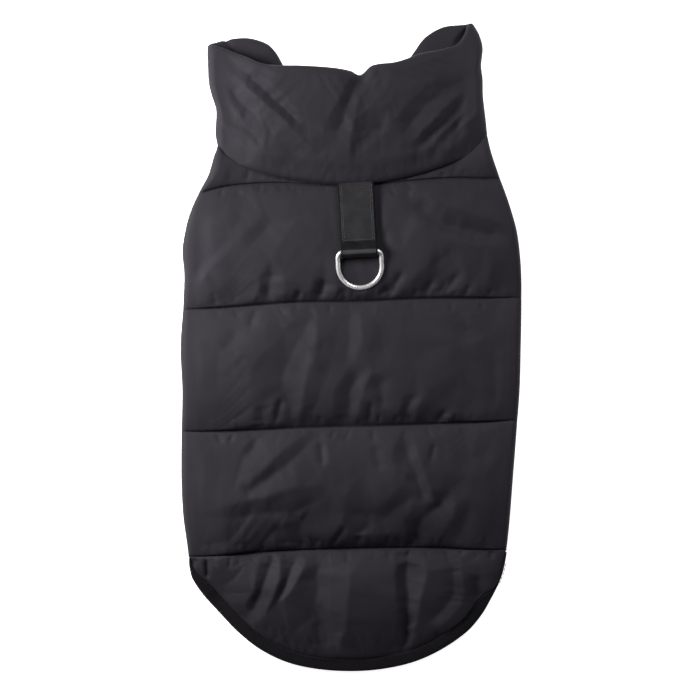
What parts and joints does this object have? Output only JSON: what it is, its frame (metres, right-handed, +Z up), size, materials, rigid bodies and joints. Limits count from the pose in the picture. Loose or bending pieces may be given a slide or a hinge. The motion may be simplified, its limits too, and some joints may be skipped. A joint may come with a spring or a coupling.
{
  "type": "dog winter coat",
  "caption": "Padded dog coat laid flat, back uppermost, with a quilted back, stand-up collar, leg holes, bound rump flap and a leash ring on a webbing tab.",
  "frame": {"origin": "middle of the coat's outline, on the surface it lies on", "axes": "+Y to the neck, +X to the coat's right seen from above, +Z up from the surface"},
  "size_m": [0.2334, 0.4448, 0.0248],
  "materials": {
    "shell": "black taffeta with a soft sheen",
    "knit": "black ribbed knit, matt",
    "webbing": "black woven webbing",
    "steel": "bright plated wire"
  },
  "bodies": {
    "coat": {"back": "shell", "tail_flap": "shell", "belly": "shell", "collar": "shell", "tail_binding": "knit", "belly_binding": "knit", "leg_binding_left": "knit", "leg_binding_right": "knit", "leash_tab": "webbing"},
    "ring": {"leash_ring": "steel"}
  },
  "joints": [
    {"name": "ring_hinge", "type": "hinge", "parent": "coat", "child": "ring", "pos_m": [0.00559, 0.06487, 0.01755], "axis": [-0.9986, -0.0523, 0], "range_deg": [0, 185]}
  ]
}
